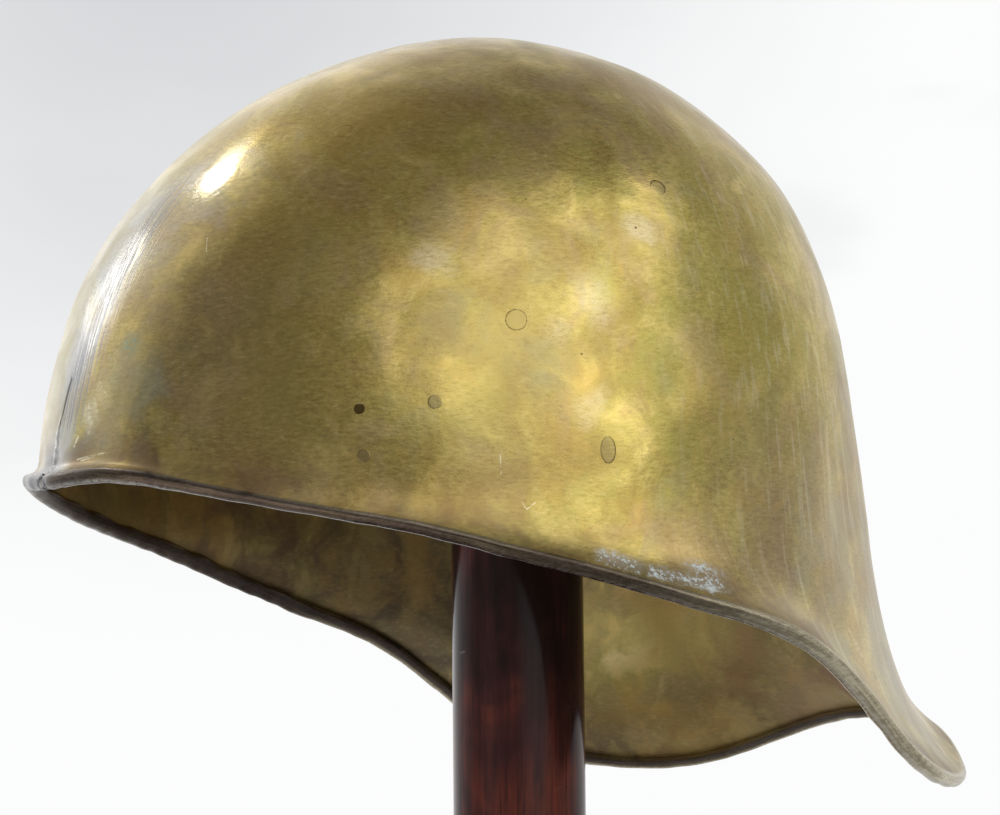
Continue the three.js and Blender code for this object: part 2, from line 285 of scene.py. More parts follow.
def rolled_hem(across):
    """Rings of the hem: round the roll, up its inner face to the cut edge, and over that edge into
    the crevice behind it. Each ring lies a distance inward and down from the rim, along the
    sheet's own normal and slope; both are swelled, notched and made wavy by the turn. Also how far
    down the skirt, as a share, the inside of the sheet begins."""
    edge = follow_crack(across, -along_rim("drop", across))
    t_rim = np.full_like(edge, 2.0)
    rim = outside(edge, level_of(edge, t_rim))
    normal, reach = sheet_frame(edge, t_rim)
    rim = rim + normal * hammering(rim)[:, None]

    beside = across * BROW_REACH
    notch = 0.30 * bell(beside - SCAR_BESIDE, 1.3 * MM) + 0.16 * bell(beside - 4.0 * MM, 1.0 * MM)
    lump = 0.05 * bell(beside + 4 * MM, 3 * MM) + 0.05 * waves(rim, 5 * MM, 40, 31) * bell(beside, 12 * MM)
    swell = 1 - notch + lump + 0.02 * waves(rim, 9 * MM, 50, 33)
    wavy = 0.06 * MM * waves(rim, 10 * MM, 50, 35) + 0.12 * MM * waves(rim, 40 * MM, 40, 36)
    wavy = wavy - 0.3 * MM - 0.7 * MM * bell(beside - SCAR_BESIDE, 1.2 * MM)
    wavy = wavy - 0.5 * MM * bell(beside, 14 * MM)

    away = np.degrees(np.abs(across))
    squareness = 2.0 + 0.9 * ease(away, 35, 70) * ease(-away, -140, -100)
    proud = 0.20 * MM + 0.32 * MM * ease(away, 95, 140)
    rise = HEM_RISE * (1 - 0.5 * ease(away, 75, 135))
    crevice_floor = CREVICE_DEPTH * (1 - 0.5 * ease(away, 75, 135)) - rise
    ragged_edge = -rise * (1 + 0.06 * waves(rim, 12 * MM, 40, 38))

    def ring(inward, down):
        return rim - normal * (inward * swell)[:, None] + reach * (down * swell + wavy)[:, None]

    rings = []
    for angle in np.linspace(0, np.pi, ROLL_ROWS + 1):
        over = np.sign(np.cos(angle)) * np.abs(np.cos(angle)) ** (2 / squareness)
        below = np.abs(np.sin(angle)) ** (2 / squareness)
        bulge = proud * math.sin(min(angle * 1.6, math.pi)) ** 1.5
        rings.append(ring(ROLL_RADIUS * (1 - over) - bulge, ROLL_REACH * below))
    for inward, down in (
        (HEM_SET_IN + 1.05 * MM, -rise * 0.45),
        (HEM_SET_IN + 0.35 * MM, -rise * 0.85),
        (HEM_SET_IN, ragged_edge),
        (SHEET + CREVICE, ragged_edge),
        (SHEET + CREVICE, crevice_floor),
        (SHEET, crevice_floor),
    ):
        rings.append(ring(inward, down))

    last_step = outside(edge, level_of(edge, t_rim)) - outside(edge, level_of(edge, t_rim - NUDGE))
    skirt_length = np.linalg.norm(last_step, axis=-1) / NUDGE
    return np.stack(rings), 1 - (rise + SHEET) / skirt_length


def skull_rows():
    """Grid of the skull's points: down the outside, round the roll, up the hem, into its crevice
    and up the inside. Also the turns and ts of the outside and of the inside."""
    across = front_columns()
    outer, turn_out, t_out = outer_sheet(across)
    rings, skirt_share = rolled_hem(across)
    t_in = np.where(t_out < 1, t_out, 1 + (t_out - 1) * skirt_share)
    turn_in = follow_crack(across[None, :], level_of(across[None, :], t_in))
    inner = skull_surface(turn_in, t_in, np.full_like(turn_in, SHEET))
    return np.concatenate([outer, rings, inner[::-1]]), (turn_out, t_out), (turn_in, t_in)


def hole_scale(hole):
    """Middle of a hole as turn and level, and how far the sheet runs there for each radian round
    and for each metre of level."""
    turn, level = np.array(math.radians(hole["turn"])), np.array(hole["level"] * MM)
    here = outside(turn, level)
    step = NUDGE * MM * 100
    round_rate = np.linalg.norm(outside(turn + NUDGE, level) - here) / NUDGE
    down_rate = np.linalg.norm(outside(turn, level - step) - here) / step
    return turn, level, round_rate, down_rate


def frame_loop(rows, columns):
    """Row and column of each grid point round a rectangle, once round from its first corner."""
    (r0, r1), (c0, c1) = rows, columns
    down, up = np.arange(r0, r1), np.arange(r1, r0, -1)
    left, right = np.arange(c0, c1), np.arange(c1, c0, -1)
    loop_r = np.concatenate([np.full(c1 - c0, r0), down, np.full(c1 - c0, r1), up])
    loop_c = np.concatenate([left, np.full(r1 - r0, c1), right, np.full(r1 - r0, c0)])
    return loop_r, loop_c


def hole_rings(hole, turn, t, loop, depth):
    """Rings of points between a rectangle of the grid and a round or oval hole inside it. Each
    ring point lies on the straight line, in turn and level, from its point of the rectangle to the
    edge of the hole in the same direction."""
    centre_turn, centre_level, round_rate, down_rate = hole_scale(hole)
    frame_turn = turn[loop]
    frame_level = level_of(frame_turn, np.broadcast_to(t, turn.shape)[loop])
    x = (frame_turn - centre_turn) * round_rate
    y = (frame_level - centre_level) * down_rate
    angle = np.arctan2(y, x)
    half_wide = (hole["wide"] / 2 + hole["gap"]) * MM
    half_long = (hole["long"] / 2 + hole["gap"]) * MM
    radius = 1 / np.hypot(np.cos(angle) / half_wide, np.sin(angle) / half_long)
    edge_turn = centre_turn + radius * np.cos(angle) / round_rate
    edge_level = centre_level + radius * np.sin(angle) / down_rate
    share = np.array([0.45, 0.8, 1.0])[:, None]
    ring_turn = frame_turn + share * (edge_turn - frame_turn)
    ring_level = frame_level + share * (edge_level - frame_level)
    return skull_surface(ring_turn, row_of(ring_turn, ring_level), np.full_like(ring_turn, depth))


def hole_span(hole, turn, t):
    """First and last row and column of the grid round a hole, with a little room."""
    centre_turn, centre_level, round_rate, down_rate = hole_scale(hole)
    level = level_of(turn, np.broadcast_to(t, turn.shape))
    middle = int(np.argmin(np.abs(turn[len(turn) // 2] - centre_turn)))
    near_c = np.abs(turn[0] - centre_turn) * round_rate < hole["wide"] / 2 * MM + HOLE_ROOM
    near_r = np.abs(level[:, middle] - centre_level) * down_rate < hole["long"] / 2 * MM + HOLE_ROOM
    rows, columns = np.flatnonzero(near_r), np.flatnonzero(near_c)
    return (rows[0] - 1, rows[-1] + 1), (columns[0] - 1, columns[-1] + 1)


# Meshes


def mesh_piece(name, points, faces, material, sharp=40, uv=None, marks=None):
    """A smooth-shaded piece at the origin from its points and faces, with edges that turn more
    than the given angle kept crisp."""
    mesh = bpy.data.meshes.new(name)
    mesh.from_pydata(points.reshape(-1, 3), [], faces)
    mesh.polygons.foreach_set("use_smooth", np.ones(len(mesh.polygons), bool))
    if uv is not None:
        corners = np.empty(len(mesh.loops), np.int32)
        mesh.loops.foreach_get("vertex_index", corners)
        layer = mesh.uv_layers.new(name="Section")
        layer.data.foreach_set("uv", uv(corners, mesh).astype(np.float32).ravel())
    for mark, values in (marks or {}).items():
        attribute = mesh.attributes.new(mark, "FLOAT", "POINT")
        attribute.data.foreach_set("value", values.astype(np.float32).ravel())
    mesh.set_sharp_from_angle(angle=math.radians(sharp))
    mesh.update()
    mesh.validate()
    mesh.materials.append(material)
    piece = bpy.data.objects.new(name, mesh)
    bpy.context.scene.collection.objects.link(piece)
    return piece


def dress(piece, slot, *nodes):
    """The piece rides with the stand and stands for CAD nodes, which it hides. The slot is not used."""
    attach(piece, "root")
    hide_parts(*nodes)


def ring_quads(index):
    """Faces between each row of a grid of point numbers and the next, closed all the way round."""
    after = np.roll(index, -1, axis=1)
    return np.stack([index[:-1], index[1:], after[1:], after[:-1]], axis=-1)


def cut_holes(index, outer_place, inner_place):
    """Cuts every rivet hole through both walls of the grid: which of its faces are kept, and the
    points and faces of the rings and walls that line the holes."""
    last = len(index) - 1
    kept = np.ones((last, index.shape[1]), bool)
    points, faces = [], []
    next_index = index.size + POLES
    for hole in [*RIVETS.values(), OPEN_HOLE]:
        outer_rows, columns = hole_span(hole, *outer_place)
        inner_rows, _ = hole_span(hole, *inner_place)
        r0, r1 = min(outer_rows[0], inner_rows[0]), max(outer_rows[1], inner_rows[1])
        kept[r0:r1, slice(*columns)] = False
        kept[last - r1:last - r0, slice(*columns)] = False
        loop = frame_loop((r0, r1), columns)
        rings = []
        for place, depth in ((outer_place, 0.0), (inner_place, SHEET)):
            ring = hole_rings(hole, *place, loop, depth)
            rows = last - loop[0] if depth else loop[0]
            numbers = next_index + np.arange(ring.shape[0] * ring.shape[1]).reshape(ring.shape[:2])
            next_index += numbers.size
            points.append(ring.reshape(-1, 3))
            rings.append(np.concatenate([index[rows, loop[1]][None], numbers]))
        faces.append(ring_quads(np.concatenate([rings[0], rings[1][::-1]])).reshape(-1, 4))
    return kept, points, faces


def skull_marks(all_points, points, outer_place, linings):
    """Where each finish belongs, point by point. By row of the grid: the band of the rolled hem, its
    two edges, worn and with painted highlights along the roll's crest and lower edge, the hem's
    inner face and the inside. By place: the mended seam up the brow, the skirt near the rim and the
    rear."""
    row_count, columns = points.shape[:2]
    turn, t = outer_place
    level = level_of(turn, t)
    row = np.arange(row_count, dtype=float)
    ridge_row, lip_row = len(t), len(t) + ROLL_ROWS
    by_row = {
        "band": ease(row, ridge_row - 0.5, ridge_row + 1.5) * ease(-row, -lip_row - 5, -lip_row - 2),
        # Ridge and lip: worn edges that also carry painted highlights, a bright line along the crest of the
        # roll and one along its lower edge.
        "ridge": bell(row - ridge_row - 1.5, 1.4),
        "lip": bell(row - lip_row + 5.0, 1.3),
        "inside": ease(row, lip_row - 2, lip_row + 2),
        "hem": ease(row, lip_row - 1, lip_row + 1.5),
    }
    outer = points[:ridge_row]
    side = outer[..., 0] - 1.5 * MM - 3.5 * MM * ease(level, 8 * MM, 40 * MM)
    half = np.where(side < 0, 22 * MM, 8 * MM + 6 * MM * ease(level, 4 * MM, 36 * MM))
    strip = np.exp(-(side / half) ** 4) * ease(-level, -84 * MM, -52 * MM) * (outer[..., 1] < 0)
    by_place = {
        "seam": strip * (1 - 0.35 * ease(-side, 2 * MM, 10 * MM)),
        "skirt": bell(level + along_rim("drop", turn), 8 * MM),
    }
    marks = {mark: np.repeat(values, columns) for mark, values in by_row.items()}
    marks.update({mark: values.ravel() for mark, values in by_place.items()})
    marks = {mark: np.pad(values, (0, len(all_points) - len(values))) for mark, values in marks.items()}
    marks["rear"] = ease(np.degrees(np.abs(np.arctan2(all_points[:, 0], -all_points[:, 1]))), 72, 108)
    marks["inside"][row_count * columns + 1] = 1
    start = row_count * columns + POLES
    for number, lining in enumerate(linings):
        marks["inside"][start:start + len(lining)] = number % 2
        start += len(lining)
    return marks


def section_uv(points, corners, mesh):
    """Distance round the skull, kept whole across the nape, and distance down the section, for the
    grid point of each face corner."""
    row_count, columns = points.shape[:2]
    sample = points[:, columns // 2 + SECTION_BESIDE]
    arc = np.concatenate([[0], np.cumsum(np.linalg.norm(np.diff(sample, axis=0), axis=-1))])
    grid = np.minimum(corners, row_count * columns - 1)
    column = grid % columns
    starts = np.empty(len(mesh.polygons), np.int32)
    totals = np.empty(len(mesh.polygons), np.int32)
    mesh.polygons.foreach_get("loop_start", starts)
    mesh.polygons.foreach_get("loop_total", totals)
    widest = np.repeat(np.maximum.reduceat(column, starts), totals)
    column = np.where(widest - column > columns // 2, columns, column)
    turn = np.append(front_columns(), np.pi)[column]
    return np.stack([turn * UV_RADIUS, arc[grid // columns]], axis=-1)


def build_skull():
    """The grid of skull_rows closed at both poles, with each rivet hole cut through both walls."""
    points, outer_place, inner_place = skull_rows()
    row_count, columns = points.shape[:2]
    index = np.arange(row_count * columns).reshape(row_count, columns)
    kept, linings, lining_faces = cut_holes(index, outer_place, inner_place)

    first_row = outside(np.zeros(1), level_of(np.zeros(1), outer_place[1][0]))
    crown_rise = float(points[0, :, 2].mean() - first_row[0, 2])
    crown = np.array([[0, -POST_BEHIND, WIDEST_LEVEL + CROWN_HEIGHT + crown_rise]])
    all_points = np.concatenate([points.reshape(-1, 3), crown, crown - [[0, 0, SHEET]], *linings])
    outer_pole, inner_pole = np.full((2, columns), [[index.size], [index.size + 1]])
    cap = np.stack([outer_pole, index[0], np.roll(index[0], -1)], axis=-1)
    ceiling = np.stack([inner_pole, np.roll(index[-1], -1), index[-1]], axis=-1)

    quads = np.concatenate([ring_quads(index)[kept], *lining_faces])
    triangles = np.concatenate([cap, ceiling])
    used = np.unique(np.concatenate([quads.ravel(), triangles.ravel()]))
    place_of = np.zeros(len(all_points), int)
    place_of[used] = np.arange(len(used))
    marks = skull_marks(all_points, points, outer_place, linings)
    return mesh_piece(
        "sallet_skull", all_points[used], [*place_of[quads].tolist(), *place_of[triangles].tolist()],
        skull_brass(), sharp=44, uv=lambda corners, mesh: section_uv(points, used[corners], mesh),
        marks={mark: values[used] for mark, values in marks.items()})


def build_plug(name, rivet, material):
    """A rivet ground off flush: its face and foot follow the sheet, joined by a short round wall.
    Face, wall and foot are one profile of radius share and depth carried round the oval."""
    centre_turn, centre_level, round_rate, down_rate = hole_scale(rivet)
    share = np.array([0.2, 0.4, 0.6, 0.78, 0.9, 0.965, 1, 1, 0.95, 0.7, 0.35])[:, None]
    depth = MM * np.array([0, 0, 0, 0, 0.01, 0.03, 0.12, 1.3, 1.42, 1.45, 1.45])[:, None]
    angle = np.linspace(0, 2 * np.pi, 40, endpoint=False)[None, :]
    x = share * np.cos(angle) * rivet["wide"] / 2 * MM
    y = share * np.sin(angle) * rivet["long"] / 2 * MM
    turn = centre_turn + x / round_rate
    level = centre_level + y / down_rate
    dishing = 0.006 * MM * waves(np.stack([x, y, 0 * x + rivet["turn"] * MM], axis=-1), 3.5 * MM, 30, 51)
    depth = depth - rivet["proud"] * MM + dishing * (depth < 1 * MM)
    points = skull_surface(turn, row_of(turn, level), depth)
    index = np.arange(points.shape[0] * points.shape[1]).reshape(points.shape[:2])
    after = np.roll(index, -1, axis=1)
    poles = np.stack([points[0].mean(axis=0), points[-1].mean(axis=0)])
    top = np.stack([np.full_like(index[0], index.size), index[0], after[0]], axis=-1)
    foot = np.stack([np.full_like(index[0], index.size + 1), after[-1], index[-1]], axis=-1)
    piece = mesh_piece(
        f"rivet_plug_{name}", np.concatenate([points.reshape(-1, 3), poles]),
        [*ring_quads(index).reshape(-1, 4).tolist(), *top.tolist(), *foot.tolist()], material, sharp=50,
        marks={"dull": np.full(index.size + 2, rivet["dark"])})
    outward(piece)
    dress(piece, "rivet_brass", f"plug_{name}")


def outward(piece):
    """Turns every face of a closed piece outwards."""
    shell = bmesh.new()
    shell.from_mesh(piece.data)
    bmesh.ops.recalc_face_normals(shell, faces=shell.faces)
    shell.to_mesh(piece.data)
    shell.free()


def turned(name, profile, sides, wobble, material, sharp=35):
    """A profile of radius and height carried round the post's axis. The wobble swells the radius a
    little with the angle and the height, as on hand-finished wood."""
    radius, height = np.array(profile).T
    angle = np.linspace(0, 2 * np.pi, sides, endpoint=False)
    ring = np.stack([
        radius[1:-1, None] * np.cos(angle), radius[1:-1, None] * np.sin(angle),
        np.repeat(height[1:-1, None], sides, axis=1),
    ], axis=-1)
    swell = wobble * waves(ring * [1, 1, 0.15], 30 * MM, 30, 61)
    ring[..., :2] *= 1 + (swell / np.maximum(radius[1:-1, None], 1 * MM))[..., None]
    index = np.arange(len(ring) * sides).reshape(-1, sides)
    after = np.roll(index, -1, axis=1)
    low = np.stack([np.full(sides, index.size), after[0], index[0]], axis=-1)
    high = np.stack([np.full(sides, index.size + 1), index[-1], after[-1]], axis=-1)
    poles = np.array([[0, 0, height[0]], [0, 0, height[-1]]])
    quads = np.roll(ring_quads(index)[..., ::-1], 1, axis=-1).reshape(-1, 4)
    return mesh_piece(name, np.concatenate([ring.reshape(-1, 3), poles]),
                      [*quads.tolist(), *low.tolist(), *high.tolist()], material, sharp=sharp)


def quarter(centre_radius, centre_height, rounding, steps):
    """A quarter circle of a profile, from its outermost point up to its top."""
    return [(centre_radius + rounding * math.cos(a), centre_height + rounding * math.sin(a))
            for a in np.linspace(0, np.pi / 2, steps)]


def build_post():
    """The post: a straight round shaft, a small rounded chamfer and a head that is part of a ball."""
    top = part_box("stand_post")[1].z
    centre = top - POST_HEAD_RADIUS
    edge = math.asin((POST_RADIUS - POST_CHAMFER) / POST_HEAD_RADIUS)
    shoulder = centre + POST_HEAD_RADIUS * math.cos(edge)
    chamfer = quarter(POST_RADIUS - POST_CHAMFER, shoulder - POST_CHAMFER, POST_CHAMFER, 5)
    head = [(POST_HEAD_RADIUS * math.sin(a), centre + POST_HEAD_RADIUS * math.cos(a))
            for a in np.linspace(edge, 0, 12)[1:]]
    shaft = [(POST_RADIUS, z) for z in np.linspace(POST_FOOT + 1 * MM, shoulder - 1 * MM, 60)]
    profile = [(0, POST_FOOT), (POST_RADIUS - 1 * MM, POST_FOOT), *shaft, *chamfer, *head]
    return turned("stand_post_wood", profile, 144, 0.05 * MM, mahogany("post_mahogany", "Z", 150 * MM))


def build_foot():
    """The foot: a flat round plate with a rounded upper edge and a socket for the post."""
    socket = POST_RADIUS + SEAT_GAP
    rim = BASE_RADIUS - BASE_ROUNDING
    rounding = quarter(rim, BASE_HEIGHT - BASE_ROUNDING, BASE_ROUNDING, 14)
    flat = [(r, BASE_HEIGHT) for r in np.linspace(rim - 4 * MM, socket + 0.8 * MM, 14)]
    profile = [
        (0, 0), (40 * MM, 0), (BASE_RADIUS - 1 * MM, 0), (BASE_RADIUS - 0.3 * MM, 0.3 * MM),
        (BASE_RADIUS, 1 * MM), *rounding, *flat,
        (socket + 0.2 * MM, BASE_HEIGHT - 0.2 * MM), (socket, BASE_HEIGHT - 0.8 * MM),
        (socket, BASE_HEIGHT - SOCKET_DEPTH), (0, BASE_HEIGHT - SOCKET_DEPTH),
    ]
    return turned("stand_foot_wood", profile, 192, 0.0, mahogany("foot_mahogany", "X", 60 * MM))


def build_backdrop():
    """A wide bowl of paper: a flat floor, a bend and an upright wall, carried round the stand."""
    flat, bend, height = 2.6, 1.0, 4.0
    angle = np.linspace(0, np.pi / 2, 24)[1:]
    floor = -0.2 * MM
    out, up = np.linspace(0.15, flat, 12), np.linspace(bend + 0.2, height, 10)
    radius = np.concatenate([out, flat + bend * np.sin(angle), np.full_like(up, flat + bend)])
    level = np.concatenate([np.full_like(out, floor), floor + bend * (1 - np.cos(angle)), up])
    around = np.linspace(0, 2 * np.pi, 128, endpoint=False)
    ring = np.stack([radius[:, None] * np.cos(around), radius[:, None] * np.sin(around),
                     np.repeat(level[:, None], len(around), axis=1)], axis=-1)
    index = np.arange(len(ring) * len(around)).reshape(len(ring), -1)
    middle = np.stack([np.full_like(index[0], index.size), index[0], np.roll(index[0], -1)], axis=-1)
    points = np.concatenate([ring.reshape(-1, 3), [[0, 0, floor]]])
    faces = [*ring_quads(index).reshape(-1, 4).tolist(), *middle.tolist()]
    bowl = mesh_piece("pale_stage", points, faces, backdrop())
    bowl.visible_glossy = False
    bowl.visible_diffuse = False
    bowl.visible_shadow = False


# Materials


class NodeTree:
    """A tree of shader nodes, with short ways to add and feed them."""

    def __init__(self, tree):
        self.tree = tree
        self.tree.nodes.clear()

    def node(self, kind, inputs=None, **settings):
        made = self.tree.nodes.new(kind)
        for key, value in settings.items():
            setattr(made, key, value)
        for key, value in (inputs or {}).items():
            self.feed(made.inputs[key], value)
        return made

    def feed(self, socket, value):
        if isinstance(value, bpy.types.NodeSocket):
            self.tree.links.new(value, socket)
        elif socket.type == "RGBA":
            socket.default_value = (*value, 1.0)
        else:
            socket.default_value = value

    def math(self, operation, a, b=0.0, clamp=False):
        return self.node("ShaderNodeMath", {0: a, 1: b}, operation=operation, use_clamp=clamp).outputs[0]

    def times(self, a, b):
        return self.math("MULTIPLY", a, b)

    def vector(self, operation, a, b):
        """A vector sum or difference, or the number that a dot product or a distance gives."""
        made = self.node("ShaderNodeVectorMath", {0: a, 1: b}, operation=operation)
        return made.outputs["Value" if operation in ("DOT_PRODUCT", "DISTANCE") else "Vector"]

    def scaled(self, vector, scale):
        return self.node("ShaderNodeVectorMath", {0: vector, "Scale": scale}, operation="SCALE").outputs[0]


class Finish(NodeTree):
    """A material's node tree, with short ways to lay its noises, masks and colours."""

    def __init__(self, name):
        self.material = bpy.data.materials.new(name)
        self.material.use_nodes = True
        super().__init__(self.material.node_tree)
        self.place = self.node("ShaderNodeTexCoord").outputs["Object"]

    def noise(self, scale, detail=3.0, roughness=0.55, distortion=0.0, place=None):
        made = self.node("ShaderNodeTexNoise", {
            "Vector": place or self.place, "Scale": scale, "Detail": detail,
            "Roughness": roughness, "Distortion": distortion,
        })
        return made.outputs["Fac"]

    def stretched(self, scale, location=(0, 0, 0), place=None):
        made = self.node("ShaderNodeMapping", {
            "Vector": place or self.place, "Location": location, "Scale": scale,
        })
        return made.outputs[0]

    def spread(self, value, low, high, to_low=0.0, to_high=1.0):
        """The value's range low to high laid smoothly over another range."""
        made = self.node("ShaderNodeMapRange", {
            "Value": value, "From Min": low, "From Max": high, "To Min": to_low, "To Max": to_high,
        }, interpolation_type="SMOOTHSTEP")
        return made.outputs[0]

    def blend(self, share, a, b):
        made = self.node("ShaderNodeMix", data_type="RGBA", clamp_factor=True)
        self.feed(made.inputs["Factor"], share)
        colours = [socket for socket in made.inputs if socket.type == "RGBA"]
        self.feed(colours[0], a)
        self.feed(colours[1], b)
        return next(socket for socket in made.outputs if socket.type == "RGBA")

    def wander(self, noise, reach):
        """A distance that the noise moves to and fro, for the ragged outline of a place."""
        return self.times(self.math("SUBTRACT", noise, 0.5), reach)

    def near(self, point, radius, soft, ragged=None, full=1.0):
        """The full value within the radius of a point, fading to nothing over the soft distance.
        Ragged is a wander that moves its outline."""
        away = self.vector("DISTANCE", self.place, tuple(point))
        if ragged is not None:
            away = self.math("ADD", away, ragged)
        return self.spread(away, radius + soft, max(radius - soft, 0.0), 0.0, full)

    def near_line(self, a, b, width, soft):
        """One along the straight line from a to b, fading over the soft distance."""
        a, b = Vector(a), Vector(b)
        way = (b - a).normalized()
        offset = self.vector("SUBTRACT", self.place, tuple(a))
        along = self.vector("DOT_PRODUCT", offset, tuple(way))
        held = self.node("ShaderNodeClamp", {"Value": along, "Min": 0.0, "Max": (b - a).length}).outputs[0]
        away = self.vector("DISTANCE", offset, self.scaled(tuple(way), held))
        return self.spread(away, width + soft, max(width - soft, 0.0))

    def mark(self, name):
        return self.node("ShaderNodeAttribute", attribute_name=name).outputs["Fac"]

    def relief(self, height):
        """Fine relief from a height in millimetres."""
        return self.node("ShaderNodeBump", {"Height": height, "Distance": 1 * MM, "Strength": 1.0}).outputs[0]

    def finish(self, linked, **fixed):
        """Puts the surface together: linked sockets by name, and fixed values set on the shader."""
        shader = self.node("ShaderNodeBsdfPrincipled", linked)
        for key, value in fixed.items():
            shader.inputs[key.replace("_", " ")].default_value = value
        self.node("ShaderNodeOutputMaterial", {"Surface": shader.outputs[0]})
        return self.material


def on_skull(turn, level, depth=0.0):
    """The place on the sheet at a turn from the brow in degrees and a level in millimetres."""
    turn, level = np.array(math.radians(turn)), np.array(level * MM)
    return tuple(float(x) for x in skull_surface(turn, row_of(turn, level), np.array(depth)))


class AgedBrass(Finish):
    """Old brass sheet: polish worn into a mottled patina of gold, olive, brown and rosy clouds,
    with darker and brighter places, some of them painted shade and painted highlights."""

    def __init__(self, name):
        super().__init__(name)
        self.tones = bpy.context.scene.sallet_patina
        cloud = self.noise(24, 2, 0.5, 0.4)
        self.mottle = self.noise(66, 4, 0.55, 0.5)
        self.fleck = self.noise(420, 3, 0.75, 0.2, place=self.stretched((1, 1, 2.8)))
        self.tint = self.noise(46, 3, 0.6, 0.7, place=self.stretched((1, 1, 0.8), location=(0.3, 0.7, 0.1)))
        self.shift = self.noise(64, 3, 0.6, 0.5, place=self.stretched((1, 1, 0.7), location=(0.9, 0.2, 0.6)))
        broad = self.math("ADD", self.times(cloud, 0.34), self.times(self.mottle, 0.50))
        self.tone = self.math("ADD", broad, self.times(self.fleck, 0.16))
        self.colour = self.blend(self.spread(self.tone, 0.33, 0.54), self.tones.brown, self.tones.olive)
        self.wash("gold", self.spread(self.tone, 0.47, 0.66))
        self.wash("rosy", self.spread(self.tint, 0.49, 0.64), 0.50)
        self.wash("green", self.spread(self.tint, 0.49, 0.36), 0.40)
        self.wash("slate", self.spread(self.shift, 0.54, 0.68), 0.32)
        self.wash("amber", self.spread(self.shift, 0.46, 0.34), 0.40)
        uneven = self.spread(self.tint, 0.36, 0.64, 1.15, 0.45)
        rubbed_and_glinting = self.spread(self.fleck, 0.30, 0.66, 0.45, 1.0)
        self.wash_places(PATINA, self.wander(self.mottle, 34 * MM), uneven)
        # Painted highlights: small pale places where glints fall, broken up by the fine flecks.
        self.wash_places(PAINTED_GLINTS, self.wander(self.mottle, 22 * MM), rubbed_and_glinting)
        grain = self.times(self.math("SUBTRACT", self.fleck, 0.5), 0.30)
        self.roughness = self.math("ADD", self.spread(self.tone, 0.40, 0.66, 0.29, 0.19), grain)
        self.height = self.math("ADD", self.times(self.mottle, 0.16), self.times(self.fleck, 0.042))

    def wash(self, key, mask, share=1.0):
        """Lays a tone over the colour where the mask is, thinned to the share."""
        if share < 1:
            mask = self.times(mask, share)
        self.colour = self.blend(mask, self.colour, getattr(self.tones, key))

    def wash_places(self, places, ragged, within, depth=0.0):
        """Washes a list of places of the sheet, each in its tone and share."""
        for turn, level, radius, soft, key, share in places:
            place = self.near(on_skull(turn, level, depth), radius * MM, soft * MM, ragged, share)
            self.wash(key, self.times(place, within))

    def strokes(self, listed, soft):
        """One along each of the listed lines from place to place of the sheet."""
        total = None
        for turn_a, level_a, turn_b, level_b, width in listed:
            line = self.near_line(on_skull(turn_a, level_a), on_skull(turn_b, level_b), width * MM, soft)
            total = line if total is None else self.math("MAXIMUM", total, line)
        return total


